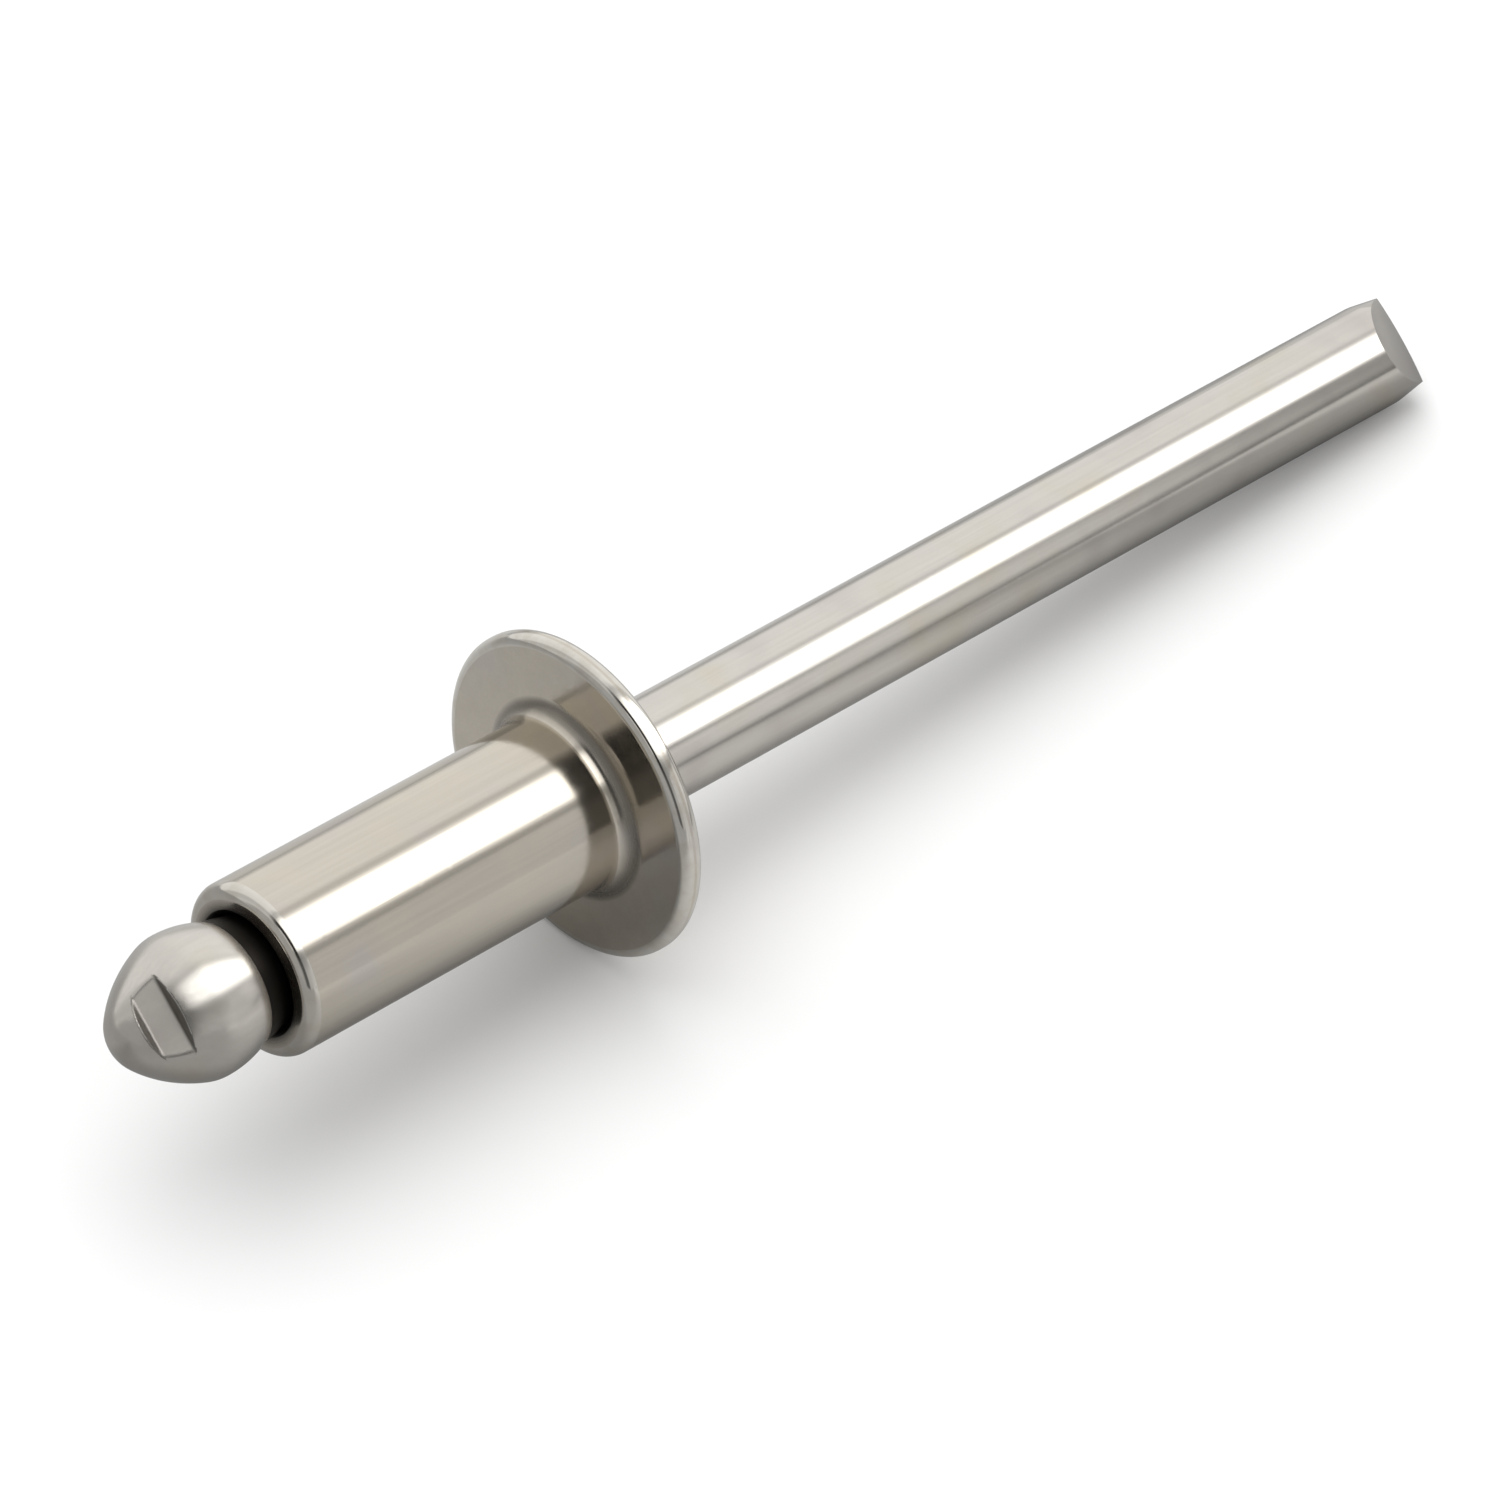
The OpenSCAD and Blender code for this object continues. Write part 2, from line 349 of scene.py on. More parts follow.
def body_outline(shank_r, shank_l, flange_r, size):
    """Closed half section of the body, from the bore's mouth at the shank's end outward."""
    bore_r = shank_r - size["wall"]
    rim_axis_r = flange_r - size["rim_round"]
    dome_base = size["rim_round"] + size["rim_band"]
    rise = size["head_height"] - dome_base
    dome_r = (rim_axis_r**2 + rise**2 - size["rim_round"] ** 2) / (2 * (rise - size["rim_round"]))
    dome_centre = (0, size["head_height"] - dome_r)
    touch = math.degrees(math.atan2(dome_base - dome_centre[1], rim_axis_r))
    mouth = math.degrees(math.acos((bore_r + size["dome_bevel"]) / dome_r))
    dome_mouth = (bore_r + size["dome_bevel"], dome_centre[1] + dome_r * math.sin(math.radians(mouth)))
    bevel_end = (bore_r, dome_mouth[1] - size["dome_bevel"])
    bevel_start = (bore_r, size["mouth_bevel"] - shank_l)
    end_mouth = (bore_r + size["mouth_bevel"], -shank_l)
    soft, end_round = size["edge_soft"], size["end_round"]
    return joined(
        corner(bevel_start, end_mouth, (shank_r, -shank_l), soft, wear=MOUTH_WEAR),
        arc((shank_r - end_round, end_round - shank_l), end_round, -90, 0, wear=END_WEAR),
        arc((shank_r + size["seat_fillet"], -size["seat_fillet"]), size["seat_fillet"], 180, 90),
        arc((rim_axis_r, size["rim_round"]), size["rim_round"], -90, 0, wear=RIM_WEAR),
        arc((rim_axis_r, dome_base), size["rim_round"], 0, touch, wear=RIM_WEAR),
        arc(dome_centre, dome_r, touch, mouth, steps=4 * ROUND_STEPS),
        corner(dome_mouth, bevel_end, bevel_start, soft),
        corner(bevel_end, bevel_start, end_mouth, soft),
    )


class RIVET_OT_body(bpy.types.Operator):
    """Turns the hollow body: shank, flange, dome head and bore"""

    bl_idname = "rivet.body"
    bl_label = "Rivet body"
    bl_options = {"UNDO"}

    def execute(self, context):
        size = sizes(context.scene.rivet_body_sizes)
        finish = context.scene.rivet_steel_finish
        shank_l = (SEAT_DEPTH + SHANK_STRAIGHT / 2) / MM + size["end_round"]
        flange_r = (BODY_HIGH.y - BODY_LOW.y) / 2 / MM
        shape = turned(body_outline(SHANK_R / MM, shank_l, flange_r, size), closed=True)
        grime = shape.verts.layers.float["grime"]
        # Painted shade darkens the end face, the bore and the fillet under the flange
        for vert in shape.verts:
            outward = vert.co.xy.length - SHANK_R / MM
            if outward < -size["end_round"] and vert.co.z < -size["seat_fillet"]:
                vert[grime] = min(1.0, -outward / size["end_round"] - 1)
            elif 0 < outward < size["seat_fillet"] and vert.co.z < size["rim_round"] / 2:
                vert[grime] = finish.fillet_grime * math.sin(math.pi * outward / size["seat_fillet"])
        for face in shape.faces:
            face.smooth = True
        steel = steel_material("body_steel", finish.body_tone, finish.body_gloss, finish)
        laid_down(shape, "hollow_body", "rivet_body", steel)
        return {"FINISHED"}


# ---------------------------------------------------------------- mandrel


def mandrel_outline(stem_r, shank_l, tip_z, stem_end, size):
    """Half section of the mandrel, from the tip of its nose to the middle of its stem's end."""
    nose_axis = Vector((0, tip_z + size["nose_round"]))
    head_back_z = -shank_l - size["head_gap"]
    wide_z = head_back_z - size["head_back"]
    shoulder_axis = Vector((size["head_r"] - size["shoulder_round"], wide_z))
    swell = size["head_r"] - size["head_back_r"]
    back_r = (size["head_back"] ** 2 + swell**2) / (2 * swell)
    back_end = math.degrees(math.asin(size["head_back"] / back_r))
    swell_r, shoulder_r = size["nose_swell"], size["shoulder_round"]
    swell_axis = swell_centre(shoulder_axis, swell_r - shoulder_r, nose_axis, swell_r - size["nose_round"])
    tip_turn, shoulder_turn = (
        math.degrees(math.atan2(*(axis - swell_axis).yx)) for axis in (nose_axis, shoulder_axis)
    )
    nose = arc(nose_axis, size["nose_round"], -90, tip_turn, fine_steps(size["nose_round"]))
    side_length = swell_r * math.radians(shoulder_turn - tip_turn)
    side = arc(swell_axis, swell_r, tip_turn, shoulder_turn, fine_steps(side_length))
    shoulder = arc(shoulder_axis, shoulder_r, shoulder_turn, 0, fine_steps(shoulder_r / 2))
    back = arc((size["head_r"] - back_r, wide_z), back_r, 0, back_end)
    neck_end = (stem_r, head_back_z + size["head_gap"] + size["neck_reach"])
    groove_z = size["groove_in"] - shank_l
    groove = [
        (stem_r, groove_z - size["groove_w"] / 2, 0.0),
        (stem_r - size["groove_depth"], groove_z, 0.0),
        (stem_r, groove_z + size["groove_w"] / 2, 0.0),
    ]
    taper_start = (stem_r, stem_end - size["tip_taper_l"])
    taper_end = (stem_r - size["tip_taper"], stem_end)
    return joined(
        nose,
        side[1:-1],
        shoulder,
        back[:-1],
        corner(back[-2], back[-1], neck_end, NECK_SOFT),
        [(*neck_end, 0.0)],
        *([point] for point in groove),
        corner(groove[-1], taper_start, taper_end, TAPER_SOFT),
        [(*taper_end, 0.0)],
        [(0.0, stem_end, 0.0)],
    )


def soft_ramp(value, soft):
    """Zero below zero and the value above it, with the bend between them rounded."""
    if value <= -soft:
        return 0.0
    if value >= soft:
        return value
    return (value + soft) ** 2 / (4 * soft)


def press_flat(shape, side, tip_z, wide_z, cone_r, size):
    """Presses one flat across the side of the nose, at a turn about the axis, and paints shade on its
    walls.
    """
    turn = Matrix.Rotation(side, 3, "Z")
    lean, soft = size["nose_angle"], size["flat_soft"]
    outward = turn @ Vector((math.cos(lean), 0, -math.sin(lean)))
    along = turn @ Vector((math.sin(lean), 0, math.cos(lean)))
    middle = turn @ Vector((cone_r, 0, tip_z + size["flat_back"]))
    facing = turn @ Vector((1, 0, 0))
    matt = shape.verts.layers.float["matt"]
    grime = shape.verts.layers.float["grime"]
    for vert in shape.verts:
        if vert.co.z > wide_z or vert.co.dot(facing) < 0:
            continue
        offset = vert.co - middle
        past_floor = abs(offset.dot(along)) - size["flat_w"] / 2
        floor = soft_ramp(past_floor, soft) / math.tan(size["flat_draft"]) - size["flat_depth"]
        proud = offset.dot(outward) - floor
        sunk = soft_ramp(proud, soft)
        vert.co -= outward * sunk
        vert[matt] = max(vert[matt], min(1.0, sunk / soft))
        # Painted shade darkens the walls of the flat
        if proud > -soft:
            up_wall = max(0.0, min(1.0, past_floor / soft + 1))
            vert[grime] = max(vert[grime], WALL_SHADE * up_wall)


def cut_off(shape, place, outward):
    """Cuts away what lies outside a plane and closes the cut with one flat face."""
    geometry = shape.verts[:] + shape.edges[:] + shape.faces[:]
    bmesh.ops.bisect_plane(
        shape, geom=geometry, dist=1e-5, plane_co=place, plane_no=outward, clear_outer=True
    )
    open_edges = [edge for edge in shape.edges if edge.is_boundary]
    bmesh.ops.holes_fill(shape, edges=open_edges, sides=0)


def pinch_end(shape, stem_end, size):
    """Cuts the stem's end to a wedge with a blunt, crowned ridge, and softens its edges."""
    roll = Matrix.Rotation(size["roll"], 3, "Z")
    crown_centre = Vector((0, 0, stem_end - size["ridge_crown"]))
    for lean in range(-CROWN_LEAN, CROWN_LEAN + 1, CROWN_STEP):
        outward = roll @ Vector((0, math.sin(math.radians(lean)), math.cos(math.radians(lean))))
        cut_off(shape, crown_centre + outward * size["ridge_crown"], outward)
    for side in (-1, 1):
        outward = roll @ Vector((side * math.cos(size["facet_angle"]), 0, math.sin(size["facet_angle"])))
        cut_off(shape, roll @ Vector((side * size["ridge_w"] / 2, 0, stem_end)), outward)
    bmesh.ops.remove_doubles(shape, verts=shape.verts, dist=MERGE)
    bmesh.ops.recalc_face_normals(shape, faces=shape.faces)
    cut_edges = [
        edge
        for edge in shape.edges
        if edge.verts[0].co.z > 0 and len(edge.link_faces) == 2 and edge.calc_face_angle() > SHARP
    ]
    bmesh.ops.bevel(
        shape, geom=cut_edges, offset=size["cut_soft"], offset_type="OFFSET", segments=3,
        profile=0.5, affect="EDGES", clamp_overlap=True, material=-1,
    )


class RIVET_OT_mandrel(bpy.types.Operator):
    """Turns the mandrel, presses the flats of its nose and pinches off its stem"""

    bl_idname = "rivet.mandrel"
    bl_label = "Mandrel"
    bl_options = {"UNDO"}

    def execute(self, context):
        size = sizes(context.scene.rivet_mandrel_sizes)
        finish = context.scene.rivet_steel_finish
        body = sizes(context.scene.rivet_body_sizes)
        shank_l = (SEAT_DEPTH + SHANK_STRAIGHT / 2) / MM + body["end_round"]
        stem_r = STEM_R / MM
        # The nose's ball reaches the low end of the mandrel's box, and the ridge its high end
        tip_z = ((MANDREL_LOW.x - SEAT.x) / MM + size["nose_round"]) / AXIS.x - size["nose_round"]
        ridge_up = (stem_r - size["tip_taper"]) * math.sin(size["roll"]) * -AXIS.z
        stem_end = ((MANDREL_HIGH.x - SEAT.x) / MM - ridge_up) / AXIS.x
        shape = turned(mandrel_outline(stem_r, shank_l, tip_z, stem_end, size), closed=False)
        wide_z = -shank_l - size["head_gap"] - size["head_back"]
        shoulder_axis_r = size["head_r"] - size["shoulder_round"]
        flat_z = tip_z + size["flat_back"]
        lean = size["nose_angle"]
        cone_drop = (wide_z - flat_z) * math.sin(lean)
        cone_r = shoulder_axis_r + (size["shoulder_round"] - cone_drop) / math.cos(lean)
        layers = shape.verts.layers.float
        neck_end_z = wide_z + size["head_back"] + size["head_gap"] + size["neck_reach"]
        # The head is made a little matt, and the neck in the gap behind it gets painted shade
        for vert in shape.verts:
            if vert.co.z < wide_z + size["head_back"] - HOLD:
                vert[layers["matt"]] = finish.head_matt
            elif vert.co.z < neck_end_z:
                vert[layers["grime"]] = 1.0
        for side in (0, math.pi):
            press_flat(shape, size["roll"] + side, tip_z, wide_z, cone_r, size)
        pinch_end(shape, stem_end, size)
        for face in shape.faces:
            face.smooth = True
        steel = steel_material("mandrel_steel", finish.mandrel_tone, finish.mandrel_gloss, finish)
        laid_down(shape, "drawn_mandrel", "mandrel", steel)
        return {"FINISHED"}


# ---------------------------------------------------------------- steel

# Places of a Mix node's sockets, whose names repeat
NUMBER_A, NUMBER_B = 2, 3
COLOUR_A, COLOUR_B, COLOUR_OUT = 6, 7, 2
# Where most of the drawn grain's tone lies, and the shares of the steel's colour and of its
# roughness at the two ends of that range
GRAIN_TONES = (0.1, 0.4)
GRAIN_COLOUR_SHARES = (0.96, 1.03)
GRAIN_GLOSS_SHARES = (1.25, 0.8)
# Share of its roughness that a rubbed edge keeps
RUBBED_GLOSS_SHARE = 0.7


def add(tree, kind, **settings):
    """A new node with its settings; a setting named after an input sets that input's value."""
    node = tree.nodes.new(kind)
    for name, value in settings.items():
        if hasattr(node, name):
            setattr(node, name, value)
        else:
            node.inputs[name.replace("_", " ").title()].default_value = value
    return node


def spread(tree, low, high, first=0.0, last=1.0, smooth=False):
    """A node that turns values between low and high into values between first and last."""
    node = add(tree, "ShaderNodeMapRange", interpolation_type="SMOOTHSTEP" if smooth else "LINEAR")
    ends = {"From Min": low, "From Max": high, "To Min": first, "To Max": last}
    for name, value in ends.items():
        node.inputs[name].default_value = value
    return node


def socket_group(name, inputs, outputs):
    """A new shader group with named sockets, and its input and output nodes."""
    group = bpy.data.node_groups.new(name, "ShaderNodeTree")
    for socket, kind, value in inputs:
        made = group.interface.new_socket(name=socket, in_out="INPUT", socket_type=kind)
        if value is not None:
            made.default_value = value
    for socket, kind in outputs:
        group.interface.new_socket(name=socket, in_out="OUTPUT", socket_type=kind)
    return group, add(group, "NodeGroupInput"), add(group, "NodeGroupOutput")


def drawn_grain():
    """Fine lines drawn along the axis: a tone and a height."""
    name = "drawn_grain"
    if name in bpy.data.node_groups:
        return bpy.data.node_groups[name]
    tree, given, result = socket_group(
        name,
        (
            ("Vector", "NodeSocketVector", None),
            ("Lines", "NodeSocketFloat", 9000.0),
            ("Stretch", "NodeSocketFloat", 0.03),
        ),
        (("Tone", "NodeSocketFloat"), ("Height", "NodeSocketFloat")),
    )
    along = add(tree, "ShaderNodeMath", operation="MULTIPLY")
    scale = add(tree, "ShaderNodeCombineXYZ")
    stretched = add(tree, "ShaderNodeVectorMath", operation="MULTIPLY")
    lines = add(tree, "ShaderNodeTexNoise", scale=1.0, detail=4.0, roughness=0.62)
    bands = add(tree, "ShaderNodeTexNoise", scale=0.22, detail=2.0, roughness=0.5)
    tone = add(tree, "ShaderNodeMath", operation="MULTIPLY")
    link = tree.links.new
    link(given.outputs["Lines"], along.inputs[0])
    link(given.outputs["Stretch"], along.inputs[1])
    link(given.outputs["Lines"], scale.inputs["X"])
    link(given.outputs["Lines"], scale.inputs["Y"])
    link(along.outputs[0], scale.inputs["Z"])
    link(given.outputs["Vector"], stretched.inputs[0])
    link(scale.outputs[0], stretched.inputs[1])
    link(stretched.outputs[0], lines.inputs["Vector"])
    link(stretched.outputs[0], bands.inputs["Vector"])
    link(lines.outputs["Fac"], tone.inputs[0])
    link(bands.outputs["Fac"], tone.inputs[1])
    link(tone.outputs[0], result.inputs["Tone"])
    link(lines.outputs["Fac"], result.inputs["Height"])
    return tree


def tumble_marks():
    """Small scattered dings from tumbling: a mask and a height."""
    name = "tumble_marks"
    if name in bpy.data.node_groups:
        return bpy.data.node_groups[name]
    tree, given, result = socket_group(
        name,
        (("Vector", "NodeSocketVector", None), ("Spacing", "NodeSocketFloat", 2600.0)),
        (("Mask", "NodeSocketFloat"), ("Height", "NodeSocketFloat")),
    )
    cells = add(tree, "ShaderNodeTexVoronoi", feature="F1")
    where = add(tree, "ShaderNodeTexNoise", detail=1.0)
    dent = spread(tree, 0.05, 0.32, 1.0, 0.0, smooth=True)
    few = spread(tree, 0.5, 0.68, smooth=True)
    mask = add(tree, "ShaderNodeMath", operation="MULTIPLY")
    height = add(tree, "ShaderNodeMath", operation="SUBTRACT")
    height.inputs[0].default_value = 1.0
    rarer = add(tree, "ShaderNodeMath", operation="MULTIPLY")
    rarer.inputs[1].default_value = 0.37
    link = tree.links.new
    link(given.outputs["Vector"], cells.inputs["Vector"])
    link(given.outputs["Vector"], where.inputs["Vector"])
    link(given.outputs["Spacing"], cells.inputs["Scale"])
    link(given.outputs["Spacing"], rarer.inputs[0])
    link(rarer.outputs[0], where.inputs["Scale"])
    link(cells.outputs["Distance"], dent.inputs["Value"])
    link(where.outputs["Fac"], few.inputs["Value"])
    link(dent.outputs[0], mask.inputs[0])
    link(few.outputs[0], mask.inputs[1])
    link(mask.outputs[0], height.inputs[1])
    link(mask.outputs[0], result.inputs["Mask"])
    link(height.outputs[0], result.inputs["Height"])
    return tree


def tint_drift():
    """A steel colour that drifts slowly between a warm and a cool tint."""
    name = "tint_drift"
    if name in bpy.data.node_groups:
        return bpy.data.node_groups[name]
    tree, given, result = socket_group(
        name,
        (
            ("Vector", "NodeSocketVector", None),
            ("Scale", "NodeSocketFloat", 420.0),
            ("Steel", "NodeSocketColor", None),
            ("Warm", "NodeSocketColor", None),
            ("Cool", "NodeSocketColor", None),
        ),
        (("Color", "NodeSocketColor"),),
    )
    drift = add(tree, "ShaderNodeTexNoise", detail=2.0, roughness=0.5)
    warmer = spread(tree, 0.5, 0.75, smooth=True)
    cooler = spread(tree, 0.5, 0.25, smooth=True)
    with_warm = add(tree, "ShaderNodeMix", data_type="RGBA")
    with_cool = add(tree, "ShaderNodeMix", data_type="RGBA")
    link = tree.links.new
    link(given.outputs["Vector"], drift.inputs["Vector"])
    link(given.outputs["Scale"], drift.inputs["Scale"])
    link(drift.outputs["Fac"], warmer.inputs["Value"])
    link(drift.outputs["Fac"], cooler.inputs["Value"])
    link(warmer.outputs[0], with_warm.inputs["Factor"])
    link(given.outputs["Steel"], with_warm.inputs[COLOUR_A])
    link(given.outputs["Warm"], with_warm.inputs[COLOUR_B])
    link(cooler.outputs[0], with_cool.inputs["Factor"])
    link(with_warm.outputs[COLOUR_OUT], with_cool.inputs[COLOUR_A])
    link(given.outputs["Cool"], with_cool.inputs[COLOUR_B])
    link(with_cool.outputs[COLOUR_OUT], result.inputs["Color"])
    return tree


def edge_wear():
    """Where rounded edges are rubbed bright, broken up by a fine noise."""
    name = "edge_wear"
    if name in bpy.data.node_groups:
        return bpy.data.node_groups[name]
    tree, given, result = socket_group(
        name,
        (("Vector", "NodeSocketVector", None), ("Scale", "NodeSocketFloat", 1800.0)),
        (("Mask", "NodeSocketFloat"),),
    )
    worn = add(tree, "ShaderNodeAttribute", attribute_name="wear")
    breaks = add(tree, "ShaderNodeTexNoise", detail=3.0, roughness=0.6)
    kept = spread(tree, 0.3, 0.6, 0.4, smooth=True)
    mask = add(tree, "ShaderNodeMath", operation="MULTIPLY")
    link = tree.links.new
    link(given.outputs["Vector"], breaks.inputs["Vector"])
    link(given.outputs["Scale"], breaks.inputs["Scale"])
    link(breaks.outputs["Fac"], kept.inputs["Value"])
    link(worn.outputs["Fac"], mask.inputs[0])
    link(kept.outputs[0], mask.inputs[1])
    link(mask.outputs[0], result.inputs["Mask"])
    return tree


def placed(tree, group):
    """A node group placed in a material."""
    node = add(tree, "ShaderNodeGroup")
    node.node_tree = group
    return node


def raised(tree, height, depth, below=None):
    """A bump of a depth in metres, on top of another bump."""
    bump = add(tree, "ShaderNodeBump", strength=1.0, distance=depth)
    tree.links.new(height, bump.inputs["Height"])
    if below:
        tree.links.new(below.outputs["Normal"], bump.inputs["Normal"])
    return bump


def steel_material(name, tone, gloss, finish):
    """Polished, drawn and tumbled stainless steel, with its pattern along the rivet's axis and painted
    shade where an attribute marks hollows.
    """
    material = bpy.data.materials.new(name)
    material.use_nodes = True
    material.diffuse_color = (*tone, 1)
    tree = material.node_tree
    tree.nodes.clear()
    link = tree.links.new
    steel = add(tree, "ShaderNodeBsdfPrincipled", metallic=1.0)
    output = add(tree, "ShaderNodeOutputMaterial")
    link(steel.outputs["BSDF"], output.inputs["Surface"])

    coordinates = add(tree, "ShaderNodeTexCoord")
    own_axis = add(tree, "ShaderNodeMapping", vector_type="TEXTURE")
    own_axis.inputs["Location"].default_value = SEAT
    own_axis.inputs["Rotation"].default_value = TURN.to_euler()
    link(coordinates.outputs["Object"], own_axis.inputs["Vector"])
    vector = own_axis.outputs["Vector"]

    grain = placed(tree, drawn_grain())
    marks = placed(tree, tumble_marks())
    tint = placed(tree, tint_drift())
    worn = placed(tree, edge_wear())
    for node in (grain, marks, tint, worn):
        link(vector, node.inputs["Vector"])
    tint.inputs["Steel"].default_value = (*tone, 1)
    tint.inputs["Warm"].default_value = (*finish.warm, 1)
    tint.inputs["Cool"].default_value = (*finish.cool, 1)

    lined = spread(tree, *GRAIN_TONES, *GRAIN_COLOUR_SHARES)
    link(grain.outputs["Tone"], lined.inputs["Value"])
    shaded = add(tree, "ShaderNodeVectorMath", operation="SCALE")
    link(tint.outputs["Color"], shaded.inputs[0])
    link(lined.outputs[0], shaded.inputs["Scale"])
    rubbed = add(tree, "ShaderNodeMix", data_type="RGBA")
    link(worn.outputs["Mask"], rubbed.inputs["Factor"])
    link(shaded.outputs[0], rubbed.inputs[COLOUR_A])
    rubbed.inputs[COLOUR_B].default_value = (*finish.worn, 1)
    # Painted shade: an attribute mixes the base colour towards near black in the bore, the gap under the
    # head, the fillet and the walls of the pressed flats
    grime = add(tree, "ShaderNodeAttribute", attribute_name="grime")
    crevice_shaded = add(tree, "ShaderNodeMix", data_type="RGBA")
    link(grime.outputs["Fac"], crevice_shaded.inputs["Factor"])
    link(rubbed.outputs[COLOUR_OUT], crevice_shaded.inputs[COLOUR_A])
    crevice_shaded.inputs[COLOUR_B].default_value = (*finish.grime, 1)
    link(crevice_shaded.outputs[COLOUR_OUT], steel.inputs["Base Color"])

    dulled = spread(tree, *GRAIN_TONES, *(gloss * part for part in GRAIN_GLOSS_SHARES))
    link(grain.outputs["Tone"], dulled.inputs["Value"])
    smoothed = add(tree, "ShaderNodeMix")
    link(worn.outputs["Mask"], smoothed.inputs["Factor"])
    link(dulled.outputs[0], smoothed.inputs[NUMBER_A])
    smoothed.inputs[NUMBER_B].default_value = gloss * RUBBED_GLOSS_SHARE
    matt = add(tree, "ShaderNodeAttribute", attribute_name="matt")
    roughened = add(tree, "ShaderNodeMix")
    link(matt.outputs["Fac"], roughened.inputs["Factor"])
    link(smoothed.outputs[0], roughened.inputs[NUMBER_A])
    roughened.inputs[NUMBER_B].default_value = finish.matt_gloss
    # The painted shade is also made rougher
    crevice_matt = add(tree, "ShaderNodeMix")
    link(grime.outputs["Fac"], crevice_matt.inputs["Factor"])
    link(roughened.outputs[0], crevice_matt.inputs[NUMBER_A])
    crevice_matt.inputs[NUMBER_B].default_value = finish.grime_gloss
    link(crevice_matt.outputs[0], steel.inputs["Roughness"])

    wave = add(tree, "ShaderNodeTexNoise", scale=260.0, detail=1.0)
    link(vector, wave.inputs["Vector"])
    waved = raised(tree, wave.outputs["Fac"], finish.wave_depth)
    dinged = raised(tree, marks.outputs["Height"], finish.ding_depth, waved)
    lined_bump = raised(tree, grain.outputs["Height"], finish.grain_depth, dinged)
    link(lined_bump.outputs["Normal"], steel.inputs["Normal"])
    return material


# ---------------------------------------------------------------- stage

# Brightness of the tent round the rivet's axis, by the angle in degrees from straight up:
# the near side is negative and the far side positive. The bright band is the softbox.
STEM_SIDE_BANDS = (
    (-180, 0.45), (-112, 0.60), (-90, 0.65), (-72, 0.64), (-60, 0.46), (-51, 0.41), (-46, 0.6),
    (-40, 2.4), (-6, 2.4), (1, 0.80), (7, 0.66), (12, 1.02), (90, 1.0), (100, 0.88), (180, 0.5),
)
# Towards the head's end the near side is dark, as the room behind a camera is
DARK_BANDS = (
    (-180, 0.26), (-110, 0.14), (-60, 0.10), (-48, 0.03), (-2, 0.02), (8, 0.24), (16, 0.60),
    (90, 0.62), (100, 0.5), (180, 0.4),
)
# How much the dark bands hold, by the direction's share along the axis
DARK_SPAN = ((-0.82, 0), (-0.67, 1), (-0.46, 1), (-0.35, 0.3), (-0.05, 0.2), (0.3, 0))
# Brightness of the tent past its dark bands, beyond the head's end
BEYOND = 0.44
# Brightness that the ramps of bands count as 1
BRIGHTEST = 4.0
# Tones of the card beside the stem, by the share of its length and of its height
CARD_ALONG = ((0, 0.63), (0.2, 0.63), (0.325, 0.84), (0.51, 0.80), (0.66, 0.60), (0.81, 0.38), (1, 0.35))
CARD_UP = ((0, 0.34), (0.09, 0.34), (0.16, 0.62), (0.30, 0.95), (0.8, 1), (1, 0.9))
# Painted shade on the floor as the steel reflects it: shares of its light along the rivet and across it,
# darkest in a strip under the rivet that stands in for its shadow
FLOOR_SHADE_ALONG = (
    (0, 0.55), (0.22, 0.6), (0.34, 0.85), (0.42, 1), (0.56, 1), (0.72, 0.62), (0.8, 0.62),
    (0.86, 1), (1, 1),
)
FLOOR_SHADE_ACROSS = ((0, 0.66), (0.44, 0.64), (0.48, 0.5), (0.53, 0.46), (0.58, 0.64), (1, 0.62))
# The floor's shares run this far each way from the middle
FLOOR_SPAN = 40 * MM
# The floor's mottle: its scale, and how far it goes to either side of the floor's tone
MOTTLE_SCALE = 150
MOTTLE = 0.01
# The card's foot begins to fade in at this share of its whole fade
CARD_FADE_FROM = 0.6


def grey_ramp(tree, stops):
    """A ramp of greys from (place, value) stops."""
    node = add(tree, "ShaderNodeValToRGB")
    ramp = node.color_ramp
    ramp.elements.remove(ramp.elements[1])
    for number, (place, value) in enumerate(stops):
        stop = ramp.elements.new(place) if number else ramp.elements[0]
        stop.position = place
        stop.color = (value, value, value, 1)
    return node


def band_ramp(tree, bands):
    """A ramp of brightness by the angle round the axis."""
    return grey_ramp(tree, [((turn + 180) / 360, value / BRIGHTEST) for turn, value in bands])


